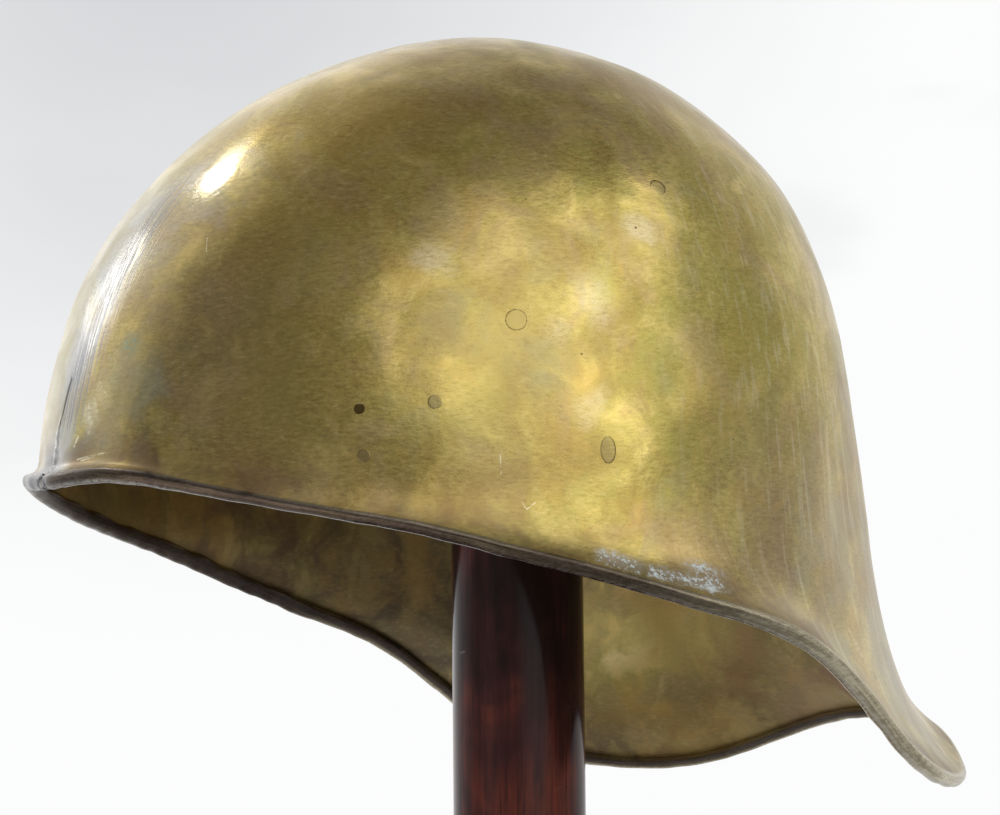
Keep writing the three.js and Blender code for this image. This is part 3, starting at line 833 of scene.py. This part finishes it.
class SkullBrass(AgedBrass):
    """The brass of the skull, with what age and mending have left on it. Each function lays one
    of those over the last."""

    def __init__(self, name):
        super().__init__(name)
        self.band, self.inside, self.rear = self.mark("band"), self.mark("inside"), self.mark("rear")
        self.seam, self.skirt = self.mark("seam"), self.mark("skirt")
        self.section = self.node("ShaderNodeUVMap", uv_map="Section").outputs[0]

    def tarnish_inside(self):
        """Duller metal inside, blotched with amber, gold and purple-brown, with a few listed places of
        painted shade and painted light.
        """
        self.wash("within", self.inside, 0.50)
        for noise, low, high, key, share in (
            (self.tint, 0.50, 0.60, "amber", 0.50),
            (self.shift, 0.52, 0.62, "gold", 0.30),
            (self.mottle, 0.50, 0.38, "rust", 0.60),
        ):
            self.wash(key, self.times(self.spread(noise, low, high, 0.0, share), self.inside))
        self.wash_places(LINING, self.wander(self.mottle, 60 * MM), self.inside, SHEET)

    def speckle(self):
        """Fine dark and pale specks everywhere, darker metal along the rim, and pale streaks drawn
        down the rear."""
        share = self.spread(self.inside, 0.0, 1.0, 0.15, 0.12)
        self.wash("dark", self.times(self.spread(self.fleck, 0.49, 0.34), share))
        self.wash("pale", self.times(self.spread(self.fleck, 0.52, 0.72), share))
        self.wash("rust", self.times(self.skirt, self.spread(self.mottle, 0.35, 0.60, 0.70, 0.30)))
        drawn = self.noise(55, 3, 0.65, 0.2, place=self.stretched((8.0, 1.3, 1.0), place=self.section))
        where = self.times(self.rear, self.spread(self.inside, 0.0, 1.0, 0.24, 0.0))
        self.wash("silvery", self.times(self.spread(drawn, 0.52, 0.66), where))

    def mend_brow(self):
        """The grey skin of the mended seam, scored lengthwise beside the crack. Gives the scores."""
        lines = self.noise(900, 2, 0.75, 0.0, place=self.stretched((1.0, 0.025, 0.025)))
        self.wash("solder", self.times(self.seam, self.spread(self.mottle, 0.34, 0.60, 0.50, 0.90)))
        scored = self.near_line(on_skull(11.0, 66), on_skull(3.0, 6), 7.5 * MM, 5.0 * MM)
        scored = self.times(scored, self.spread(lines, 0.52, 0.42))
        self.wash("solder_dull", scored, 0.80)
        return scored

    def wear_hem(self):
        """The rolled hem: dark at the front and on its inner face, the front darkened further as painted
        shade where the roll reflects the dark side of the room, pale and gritty at the rear, worn along
        both edges and painted there with highlights along the crest and the lower edge, with a lump of
        solder at the brow. Gives its grit."""
        lengthwise = self.noise(60, 3, 0.65, 0.1, place=self.stretched((1.0, 22.0, 1.0), place=self.section))
        grit = self.math("ADD", self.times(lengthwise, 0.6), self.times(self.fleck, 0.4))
        streaks = self.spread(grit, 0.40, 0.62)
        # Front tones: dark tarnish darkened further as painted shade, where the roll reflects the dark side
        # of the room.
        front = self.blend(streaks, self.tones.band_dark, self.tones.band_light)
        rear = self.blend(streaks, self.tones.rear_dark, self.tones.rear_light)
        outer_rear = self.times(self.math("SUBTRACT", 1.0, self.mark("hem")), self.rear)
        hem = self.blend(outer_rear, front, rear)
        self.colour = self.blend(self.times(self.band, 0.92), self.colour, hem)
        # The ridge's pale stone is worn metal and also a painted highlight along the crest of the roll.
        worn = self.times(self.spread(self.rear, 0.0, 1.0, 0.30, 0.75), self.spread(self.mottle, 0.34, 0.56))
        self.wash("stone", self.times(self.mark("ridge"), worn))
        # The lip's pale tone is worn metal and also a painted highlight along the roll's lower edge.
        self.wash("lip_wear_and_highlight", self.times(self.mark("lip"), self.spread(self.fleck, 0.40, 0.56, 0.25, 0.75)))
        tip = self.near(on_skull(-3.0, -13.0), 9 * MM, 4 * MM, self.wander(self.mottle, 8 * MM))
        self.wash("solder_dull", tip, 0.80)
        return grit

    def bloom(self):
        """White corrosion above the rim, in crumbs with a veil round them and one crust. Gives the
        crumbs."""
        lines = self.strokes(BLOOM, 3.2 * MM)
        crumbs = self.spread(self.noise(620, 3, 0.8), 0.515, 0.57)
        crumbs = self.times(self.times(lines, crumbs), self.spread(self.mottle, 0.40, 0.52, 0.25, 1.0))
        crust = self.near(on_skull(91.2, -47.2), 1.6 * MM, 1.4 * MM, self.wander(self.fleck, 8 * MM))
        crumbs = self.math("MAXIMUM", crumbs, self.times(crust, 0.85))
        self.wash("haze", self.times(lines, self.spread(self.mottle, 0.38, 0.60, 0.20, 0.65)))
        self.wash("bloom", crumbs)
        return crumbs

    def verdigris(self):
        """A spot of green corrosion beside the seam. Gives its mask."""
        spot = self.near(on_skull(15.4, 21.7), 2.6 * MM, 3.4 * MM, self.wander(self.fleck, 13 * MM))
        spot = self.times(spot, self.spread(self.fleck, 0.44, 0.56))
        self.wash("verdigris", spot, 0.90)
        return spot

    def damage(self):
        """The dark crack, the pits and the bright scratches."""
        dark = self.near_line(on_skull(1.0, 14.0), on_skull(-0.5, 1.8), 0.22 * MM, 0.20 * MM)
        for turn, level, radius in PITS:
            dark = self.math("MAXIMUM", dark, self.near(on_skull(turn, level), radius * MM, 0.2 * MM))
        self.wash("dark", dark, 0.9)
        scratches = self.times(self.strokes(SCRATCHES, 0.16 * MM), self.spread(self.fleck, 0.36, 0.56))
        self.wash("silvery", scratches, 0.75)

    def less(self, value, mask, share):
        """The value less the mask's share, and never below nothing."""
        return self.math("SUBTRACT", value, self.times(mask, share), clamp=True)


def skull_brass():
    """Aged brass, tarnished inside, with the mended seam up the brow, the worn hem, white bloom
    above the rim, verdigris beside the seam, and one smooth place high over the brow, smoothed by
    handling, whose pale colour is a painted highlight where the upper pane's reflection falls."""
    f = SkullBrass("aged_brass")
    f.tarnish_inside()
    f.speckle()
    scored = f.mend_brow()
    grit = f.wear_hem()
    crumbs = f.bloom()
    green = f.verdigris()
    f.damage()
    # Painted highlight: a pale patch where the upper pane's reflection falls, inside a smoother place.
    polished_and_lit = f.near(on_skull(18.4, 71.0), 4.6 * MM, 2.4 * MM, f.wander(f.fleck, 6 * MM))
    f.wash("polish", polished_and_lit, 0.85)

    metallic = f.less(0.94, crumbs, 0.9)
    metallic = f.less(metallic, f.inside, 0.44)
    metallic = f.less(metallic, green, 0.6)
    metallic = f.less(metallic, f.times(f.band, f.rear), 0.45)

    round_polished = f.near(on_skull(17.6, 69.0), 11 * MM, 6 * MM)
    roughness = f.math("ADD", f.roughness, f.times(f.inside, 0.24))
    roughness = f.math("ADD", roughness, f.times(f.skirt, 0.10))
    roughness = f.math("SUBTRACT", roughness, f.times(f.seam, 0.07))
    roughness = f.math("SUBTRACT", roughness, f.times(round_polished, 0.09))
    roughness = f.math("MAXIMUM", roughness, f.times(crumbs, 0.8))
    roughness = f.math("MAXIMUM", roughness, 0.10)

    height = f.math("ADD", f.height, f.times(f.times(grit, f.band), 0.12))
    height = f.math("SUBTRACT", height, f.times(scored, 0.05))
    return f.finish({"Base Color": f.colour, "Metallic": metallic, "Roughness": roughness,
                     "Normal": f.relief(height)})


def rivet_brass():
    """The same brass on the flush rivets, duller by their mark."""
    f = AgedBrass("flush_rivet_brass")
    f.colour = f.blend(f.mark("dull"), f.colour, f.tones.slate_dark)
    return f.finish({"Base Color": f.colour, "Roughness": f.roughness, "Normal": f.relief(f.height)},
                    Metallic=0.94)


# Places of the patina, with a few places of painted shade and painted light among them, marked
# below: turn and level on the sheet, radius and softness in millimetres, the tone and how much of it shows
PATINA = [
    (36, 14, 34, 30, "brown", 0.50),
    (28, 38, 22, 26, "rust", 0.42),
    (34, 2, 18, 16, "rust", 0.40),
    (18, 34, 8, 12, "rosy", 0.55),
    (19, 52, 8, 10, "rosy", 0.50),
    (17, 12, 8, 10, "slate", 0.40),
    (19, -4, 6, 7, "dark", 0.22),
    # Painted shade: the next two darken the flare above the brow's roll, where the window's reflection falls.
    (9, -8, 4, 4, "dark", 0.40),
    (20, -11.5, 6, 4, "dark", 0.40),
    (44, 84, 18, 16, "amber", 0.50),
    (70, 70, 12, 12, "olive", 0.45),
    (30, 30, 8, 9, "rosy", 0.30),
    (45, 40, 9, 9, "gold", 0.25),
    (62, 78, 9, 8, "green", 0.35),
    # Darker patina and painted shade: it dulls the window's reflection in the flare above the rim.
    (104, -58, 10, 9, "rust", 0.45),
    (46, 96, 40, 36, "umber", 0.60),
    (60, 117, 18, 14, "brown", 0.40),
    # Painted light: a brighter place high at the left rear, standing in for room light that falls short
    # there.
    (105, 90, 16, 14, "gold", 0.35),
    (36, 60, 18, 18, "umber", 0.50),
    (140, 104, 40, 34, "umber", 0.40),
    (13, 4, 8, 12, "film", 0.35),
    (14, 46, 9, 12, "film", 0.50),
    # Grey film round the painted highlight high over the brow.
    (17.6, 69, 12, 10, "film", 0.75),
    (8, 84, 14, 14, "rosy", 0.40),
    (13, -6, 7, 8, "solder_dull", 0.45),
    (15, 16, 9, 10, "film", 0.40),
    (14, 7, 7, 8, "olive", 0.50),
    (38, 6, 12, 12, "olive", 0.45),
    (40, 30, 14, 14, "olive", 0.30),
    (68, 30, 26, 26, "gold", 0.30),
    (70, 0, 22, 20, "gold", 0.25),
    (60, 24, 7, 7, "slate", 0.35),
    (73, 10, 7, 7, "slate", 0.45),
    (66, 4, 6, 6, "olive", 0.40),
    (66, -16, 9, 10, "rosy", 0.35),
    (56, -29, 16, 11, "brown", 0.65),
    (99, 16, 34, 28, "green", 0.40),
    (112, 44, 34, 30, "olive", 0.30),
    (90, -40, 9, 10, "rosy", 0.65),
    (99, -50, 9, 10, "rosy", 0.50),
    (112, -30, 30, 26, "stone", 0.30),
    (126, -50, 30, 24, "stone", 0.50),
    (136, -78, 22, 18, "stone", 0.55),
]

# Painted highlights: small bright places where glints fall, as turn and level, radius and softness in
# millimetres, tone and share
PAINTED_GLINTS = [
    (54, 14.6, 2.0, 4.5, "gold", 0.65),
    (58.4, 40.7, 2.5, 6.0, "silvery", 0.35),
    (79.0, 31.5, 3.0, 6.5, "silvery", 0.35),
    (74.8, 24.3, 2.0, 4.5, "silvery", 0.30),
    (87.7, 52.6, 1.6, 5.0, "silvery", 0.35),
    (78.1, 2.5, 2.0, 6.0, "pale", 0.45),
    (8.5, 3.0, 2.0, 4.0, "silvery", 0.45),
    (11.5, 8.0, 2.0, 4.0, "pale", 0.40),
]

# Places of the inside, in the same terms as the patina, with a few of painted shade and painted light marked
# below
LINING = [
    # Painted shade: the next two darken the inner wall beside the post.
    (-100, -50, 36, 26, "dark", 0.42),
    (-107, -63, 24, 14, "dark", 0.65),
    (-139, -66, 16, 12, "green", 0.85),
    (-138, -61, 11, 7, "gold", 0.85),
    (-139, -67, 6, 6, "pale", 0.55),
    (-141, -79, 9, 7, "amber", 0.60),
    (-155, -62, 16, 14, "olive", 0.65),
    (-52, -22, 22, 16, "umber", 0.45),
    (-150, -48, 8, 8, "umber", 0.60),
    (-160, -86, 4, 4, "dark", 0.60),
    (-160, -72, 9, 9, "red", 0.45),
    # Painted light: a brighter rosy place low on the inner wall near the nape.
    (-170, -84, 20, 12, "rosy", 0.60),
    (-149, -92, 12, 10, "amber", 0.45),
    (-136, -95, 14, 10, "dark", 0.25),
    (178, -80, 12, 12, "red", 0.40),
]

# White bloom: turn and level of both ends and the half width in millimetres
BLOOM = [
    (78.8, -38.6, 82.4, -41.2, 1.2),
    (84.4, -42.8, 88.0, -44.4, 1.2),
    (89.4, -45.2, 93.0, -46.2, 1.5),
    (90.0, -41.0, 94.0, -43.0, 0.6),
]

# Dark pits: turn, level and radius in millimetres
PITS = [
    (77.2, 16.4, 0.28),
    (87.2, 52.8, 0.35),
    (71.0, 60.0, 0.2),
    (99.0, -6.0, 0.2),
]

# Bright scratches: turn and level of both ends, and the half width in millimetres
SCRATCHES = [
    (6.5, -9.3, 12.7, -8.0, 0.22),
    (7.6, -9.7, 10.6, -8.9, 0.16),
    (9.2, -12.6, 13.5, -12.4, 0.16),
    (5.2, -5.4, 6.0, -3.0, 0.4),
    (7.8, 6.2, 8.4, 1.8, 0.22),
    (9.2, 1.2, 8.6, -2.2, 0.18),
    (9.0, 8.0, 10.4, 3.0, 0.12),
    (12.0, 8.0, 10.0, 12.0, 0.10),
    (69.4, -23.6, 69.9, -25.6, 0.10),
    (69.9, -25.6, 71.0, -23.8, 0.10),
    (66.8, -11.0, 66.9, -16.5, 0.08),
    (121.0, -62.0, 123.0, -70.0, 0.14),
    (119.6, -58.0, 121.6, -66.5, 0.12),
    (127.0, -88.0, 128.5, -92.5, 0.16),
    (128.2, -87.0, 129.5, -91.5, 0.12),
    (24.0, 52.0, 25.0, 47.0, 0.08),
]


# Both ends of the small nick in the front of the post
NICK = ((0.2 * MM, -20 * MM, 145.6 * MM), (2.6 * MM, -19.8 * MM, 146 * MM))


def mahogany(name, along, glow):
    """Dark varnished mahogany. Its streaks and pores run along the given axis, nearly black where
    the stain is thick and red in soft patches where it has worn thin, the more so below glow, where
    the extra red is painted light from below."""
    tones = bpy.context.scene.sallet_wood
    f = Finish(name)
    squeeze = [1.0, 1.0, 1.0]
    squeeze["XYZ".index(along)] = 0.10
    figure = f.noise(150, 4, 0.6, 0.6, place=f.stretched(tuple(squeeze)))
    squeeze["XYZ".index(along)] = 0.04
    grain = f.noise(900, 3, 0.65, place=f.stretched(tuple(squeeze)))
    stain = f.noise(44, 3, 0.6, 0.5, place=f.stretched((1, 1, 0.6)))
    height = f.node("ShaderNodeSeparateXYZ", {0: f.place}).outputs[2]
    # Painted light: towards the bottom, below the glow height, the red shows more.
    low = f.spread(height, glow, glow - 60 * MM)
    thin = f.math("ADD", f.times(stain, 0.55), f.times(figure, 0.40))
    thin = f.math("ADD", thin, f.times(low, 0.13))
    wood = f.blend(f.spread(thin, 0.38, 0.60), tones.dark, tones.mid)
    worn = f.times(f.spread(thin, 0.52, 0.76), f.spread(grain, 0.36, 0.62, 0.60, 1.0))
    wood = f.blend(worn, wood, tones.red)
    wood = f.blend(f.times(f.spread(grain, 0.46, 0.34), 0.55), wood, tones.dark)
    rub = f.times(f.spread(f.noise(240, 4, 0.75), 0.66, 0.74), 0.25)
    nick = f.near_line(*NICK, 0.25 * MM, 0.35 * MM)
    wood = f.blend(f.math("MAXIMUM", rub, f.times(nick, 0.8)), wood, tones.worn)
    roughness = f.math("ADD", f.spread(stain, 0.3, 0.7, 0.11, 0.17), f.times(rub, 0.5))
    relief = f.math("ADD", f.times(figure, 0.05), f.times(grain, 0.012))
    return f.finish({"Base Color": wood, "Roughness": roughness, "Normal": f.relief(relief)},
                    Specular_IOR_Level=0.17)


def backdrop():
    """Plain pale paper: matt near the stand, where it takes the light and shade of the room, with a
    weak painted glow there, and glowing farther out as painted light, white low down and behind the
    nape and greyer in a few broad clouds of painted shade."""
    tones = bpy.context.scene.sallet_stage
    f = Finish("pale_paper")
    cloud = f.noise(1.6, 3, 0.5, place=f.stretched((1, 1, 2.5)))
    # Painted shade: grey clouds on the glowing paper, the largest at the upper left of the camera's view.
    shade = f.near((-3.35, 1.3, 1.15), 0.55, 0.60, f.wander(cloud, 0.4))
    raised = f.spread(f.node("ShaderNodeSeparateXYZ", {0: f.place}).outputs[2], 0.15, 0.8)
    clouds = f.times(f.times(f.spread(cloud, 0.50, 0.36), raised), 0.25)
    shade = f.math("MAXIMUM", shade, clouds)
    tint = f.blend(shade, tones.paper, tones.shade)
    far = f.node("ShaderNodeVectorMath", {0: f.place}, operation="LENGTH").outputs["Value"]
    far = f.spread(far, 0.35, 1.2)
    matt = f.blend(far, tones.floor, (0, 0, 0))
    f.material.cycles.emission_sampling = "NONE"
    # Painted light: the paper glows, weakly near the stand, where it lifts the shadows, and fully farther
    # out.
    glow = f.spread(far, 0.0, 1.0, 0.30, 1.0)
    return f.finish({"Base Color": matt, "Emission Color": tint, "Emission Strength": glow},
                    Roughness=1.0, Specular_IOR_Level=0.0)


# Light and camera


def bearing_way(bearing, elevation):
    """Direction at a bearing from the brow towards the helmet's left, and an elevation."""
    a, e = math.radians(bearing), math.radians(elevation)
    return Vector((math.sin(a) * math.cos(e), -math.cos(a) * math.cos(e), math.sin(e)))


def area_light(name, bearing, elevation, distance, width, height, power, colour, tilt=0.0):
    """A soft rectangular light that faces the helmet, turned about its own axis by the tilt."""
    lamp = bpy.data.lights.new(name, "AREA")
    lamp.shape = "RECTANGLE"
    lamp.size, lamp.size_y = width, height
    lamp.energy = power
    lamp.color = colour
    holder = bpy.data.objects.new(name, lamp)
    way = bearing_way(bearing, elevation)
    holder.matrix_world = (Matrix.Translation(Vector((0, 0, WIDEST_LEVEL + 10 * MM)) + way * distance)
                           @ (-way).to_track_quat("-Z", "Y").to_matrix().to_4x4()
                           @ Matrix.Rotation(math.radians(tilt), 4, "Z"))
    holder.visible_camera = False
    bpy.context.scene.collection.objects.link(holder)


# Soft light of the room: bearing and elevation it comes from, the angle over which it fades, its
# strength and colour
GLOWS = [
    (-130, -4, 78, 0.55, (1.0, 0.99, 0.97)),
    (92, 26, 47, 1.10, (1.0, 0.975, 0.93)),
    (165, 14, 52, 0.26, (1.0, 0.98, 0.95)),
    (-66, 26, 60, 0.66, (0.98, 0.99, 1.0)),
    (8, -36, 42, 1.15, (1.0, 0.96, 0.90)),
    (-44, -58, 36, 0.45, (1.0, 0.96, 0.90)),
    (106, 31, 7.5, 1.5, (1.0, 0.99, 0.97)),
    (100, 11, 8, 1.60, (1.0, 0.95, 0.82)),
    (131, 47, 17, 1.10, (1.0, 0.98, 0.90)),
    (66, 18, 10, 0.60, (1.0, 0.96, 0.86)),
]
ROOM_SHADE = (0.30, 0.30, 0.305)  # the even light between the glows


def room_light():
    """Even dim light from all round, with soft glows, broad and narrow, added by their directions."""
    world = bpy.data.worlds.new("room")
    bpy.context.scene.world = world
    world.use_nodes = True
    room = NodeTree(world.node_tree)
    way = room.node("ShaderNodeTexCoord").outputs["Generated"]
    total = ROOM_SHADE
    for bearing, elevation, fade, strength, colour in GLOWS:
        glow = room.node("ShaderNodeMapRange", {
            "Value": room.vector("DOT_PRODUCT", way, bearing_way(bearing, elevation)),
            "From Min": math.cos(math.radians(fade)), "To Max": strength,
        }, interpolation_type="SMOOTHERSTEP").outputs[0]
        total = room.vector("ADD", room.scaled(colour, glow), total)
    shine = room.node("ShaderNodeBackground", {"Color": total})
    room.node("ShaderNodeOutputWorld", {"Surface": shine.outputs[0]})


def set_camera():
    """The photograph's view, solved from the rim, the outline and the post: a long lens, about 61
    degrees round from the brow to the helmet's left and looking up four degrees."""
    lens = bpy.data.cameras.new("camera")
    lens.sensor_width = 36
    lens.lens = 115.06
    lens.clip_start = 0.02
    lens.clip_end = 40
    camera = bpy.data.objects.new("camera", lens)
    bpy.context.scene.collection.objects.link(camera)
    heading, pitch, roll = math.radians(61.148), math.radians(4.058), math.radians(-0.537)
    place = (0.84748, -0.47235, 0.15110)
    camera.matrix_world = (Matrix.Translation(place)
                           @ Matrix.Rotation(heading, 4, "Z")
                           @ Matrix.Rotation(math.pi / 2 + pitch, 4, "X")
                           @ Matrix.Rotation(roll, 4, "Z"))
    bpy.context.scene.camera = camera


# Sizes and colours


def tone(name, colour, description):
    """A colour that the user can change."""
    return bpy.props.FloatVectorProperty(
        name=name, description=description, subtype="COLOR", size=3, min=0, max=1, default=colour)


class SheetSizes(bpy.types.PropertyGroup):
    """How the raised sheet is worked."""

    hammer_marks: bpy.props.FloatProperty(
        name="Hammer marks", description="Depth of the planishing marks", default=0.04 * MM,
        min=0, max=1 * MM, precision=6, unit="LENGTH")
    hollows: bpy.props.FloatProperty(
        name="Hollows", description="Depth of the broad unevenness of the raised form", default=0.18 * MM,
        min=0, max=2 * MM, precision=6, unit="LENGTH")


class PatinaTones(bpy.types.PropertyGroup):
    """Colours of the old brass."""

    gold: tone("Gold", (0.70, 0.54, 0.19), "Brass where the polish is worn bright")
    olive: tone("Olive", (0.43, 0.345, 0.098), "Thin green-brown patina")
    green: tone("Green", (0.36, 0.34, 0.085), "Greener film")
    brown: tone("Brown", (0.28, 0.185, 0.052), "Thick brown patina")
    umber: tone("Umber", (0.39, 0.26, 0.070), "Warm brown film of the top")
    stone: tone("Stone", (0.47, 0.42, 0.325), "Greyish beige of the tail")
    # Polish is partly painted highlight: the pale patch where the upper pane's reflection falls.
    polish: tone("Polish", (0.86, 0.84, 0.78), "Small place polished by handling")
    # The worn lip is partly painted highlight: the roll's bright lower edge.
    lip_wear_and_highlight: tone("Worn lip", (0.46, 0.45, 0.42), "Bright lower edge of the rolled hem")
    rust: tone("Rust", (0.22, 0.145, 0.085), "Purple-brown patina near the rim")
    amber: tone("Amber", (0.52, 0.34, 0.09), "Orange-brown places")
    rosy: tone("Rosy", (0.44, 0.31, 0.165), "Pinkish places where the zinc has left the brass")
    slate: tone("Slate", (0.33, 0.30, 0.17), "Grey film over the patina")
    red: tone("Red", (0.36, 0.17, 0.08), "Reddish stain")
    within: tone("Inside", (0.21, 0.155, 0.085), "Tarnish of the inside")
    film: tone("Grey film", (0.48, 0.46, 0.39), "Silvery grey film beside the mended seam")
    # Silvery and pale are worn bright metal, and also the tones of the painted glints.
    silvery: tone("Silvery", (0.82, 0.75, 0.54), "Places rubbed nearly white")
    pale: tone("Pale", (0.80, 0.68, 0.38), "Freshly rubbed metal")
    dark: tone("Dark", (0.05, 0.04, 0.025), "Pits, cracks and the deepest stains")
    slate_dark: tone("Rivet shade", (0.16, 0.14, 0.085), "Duller brass of the old rivets")
    # The hem's front tones: dark tarnish darkened further as painted shade for the roll's dark reflection.
    band_dark: tone("Hem shade", (0.032, 0.023, 0.025), "Dark streaks of the rolled hem at the front")
    band_light: tone("Hem light", (0.080, 0.058, 0.058), "Worn streaks of the rolled hem at the front")
    rear_dark: tone("Rear hem shade", (0.34, 0.30, 0.21), "Dark grit of the rolled hem at the back")
    rear_light: tone("Rear hem light", (0.72, 0.66, 0.48), "Worn grit of the rolled hem at the back")
    haze: tone("Haze", (0.52, 0.47, 0.42), "Whitish veil round the bloom")
    bloom: tone("White bloom", (0.62, 0.72, 0.76), "White corrosion above the rim")
    verdigris: tone("Verdigris", (0.19, 0.32, 0.24), "Green corrosion")
    solder: tone("Solder", (0.46, 0.465, 0.47), "Bright grey skin of the mended brow")
    solder_dull: tone("Dull solder", (0.27, 0.27, 0.28), "Grey lump of solder on the hem")


class WoodTones(bpy.types.PropertyGroup):
    """Colours of the stand."""

    dark: tone("Dark", (0.020, 0.009, 0.009), "Pores and the thickest stain")
    mid: tone("Stain", (0.068, 0.020, 0.018), "Mahogany under its stain")
    red: tone("Red", (0.24, 0.050, 0.026), "Streaks where the stain is thin")
    worn: tone("Worn", (0.16, 0.12, 0.13), "Rubbed varnish")


class StageSettings(bpy.types.PropertyGroup):
    """Light and paper."""

    paper: tone("Paper", (0.97, 0.975, 0.975), "Glow of the backdrop")
    # Paper shade is painted shade: the grey of the clouds on the glowing paper.
    shade: tone("Paper shade", (0.68, 0.69, 0.71), "Glow of its darker clouds")
    floor: tone("Floor", (0.86, 0.86, 0.85), "Colour of the floor near the stand")
    window: bpy.props.FloatProperty(
        name="Window", description="Power of the tall window light", default=2.1,
        min=0, max=200, unit="POWER")
    pane: bpy.props.FloatProperty(
        name="Upper pane", description="Power of the small window light", default=1.4,
        min=0, max=200, unit="POWER")


# Operators


class SALLET_OT_skull(bpy.types.Operator):
    """Raise the brass skull with its rolled hem and old rivet holes"""

    bl_idname = "sallet.skull"
    bl_label = "Raise skull"

    def execute(self, context):
        dress(build_skull(), "brass", "skull")
        return {"FINISHED"}


class SALLET_OT_plugs(bpy.types.Operator):
    """Set the flush plugs of the old rivet holes"""

    bl_idname = "sallet.plugs"
    bl_label = "Set rivet plugs"

    def execute(self, context):
        material = rivet_brass()
        for name, rivet in RIVETS.items():
            build_plug(name, rivet, material)
        return {"FINISHED"}


class SALLET_OT_stand(bpy.types.Operator):
    """Turn the post and the foot of the stand"""

    bl_idname = "sallet.stand"
    bl_label = "Turn stand"

    def execute(self, context):
        dress(build_post(), "mahogany", "stand_post")
        dress(build_foot(), "mahogany", "stand_base")
        return {"FINISHED"}


class SALLET_OT_stage(bpy.types.Operator):
    """Lay the pale floor and backdrop, and set the soft lights and the camera"""

    bl_idname = "sallet.stage"
    bl_label = "Set stage"

    def execute(self, context):
        settings = context.scene.sallet_stage
        build_backdrop()
        room_light()
        area_light("tall_window", bearing=-61, elevation=26, distance=2.2, width=0.32, height=0.66,
                   power=settings.window, colour=(1.0, 0.985, 0.96))
        area_light("upper_pane", bearing=-63, elevation=49, distance=2.2, width=0.24, height=0.18,
                   power=settings.pane, colour=(0.98, 0.99, 1.0), tilt=34)
        set_camera()
        context.scene.view_settings.view_transform = "Standard"
        return {"FINISHED"}


class SALLET_PT_panel(bpy.types.Panel):
    """Sizes, colours and pieces of the sallet"""

    bl_idname = "SALLET_PT_panel"
    bl_label = "Sallet"
    bl_space_type = "VIEW_3D"
    bl_region_type = "UI"
    bl_category = "Sallet"

    def draw(self, context):
        for group in GROUPS:
            box = self.layout.box()
            box.label(text=group)
            settings = getattr(context.scene, group)
            for key in settings.bl_rna.properties.keys():
                if key not in ("rna_type", "name"):
                    box.prop(settings, key)
        for operator in OPERATORS:
            self.layout.operator(operator.bl_idname)


GROUPS = {
    "sallet_sheet": SheetSizes,
    "sallet_patina": PatinaTones,
    "sallet_wood": WoodTones,
    "sallet_stage": StageSettings,
}
OPERATORS = (SALLET_OT_skull, SALLET_OT_plugs, SALLET_OT_stand, SALLET_OT_stage)


def register():
    """Adds the property groups to the scene, and the operators and the panel."""
    for name, group in GROUPS.items():
        bpy.utils.register_class(group)
        setattr(bpy.types.Scene, name, bpy.props.PointerProperty(type=group))
    for item in (*OPERATORS, SALLET_PT_panel):
        bpy.utils.register_class(item)


def unregister():
    """Takes out all that register adds, in the opposite order."""
    for item in (SALLET_PT_panel, *reversed(OPERATORS)):
        bpy.utils.unregister_class(item)
    for name, group in reversed(GROUPS.items()):
        delattr(bpy.types.Scene, name)
        bpy.utils.unregister_class(group)


def main():
    register()
    bpy.ops.sallet.skull()
    bpy.ops.sallet.plugs()
    bpy.ops.sallet.stand()
    bpy.ops.sallet.stage()
    bpy.context.view_layer.update()


if __name__ == "__main__":
    main()
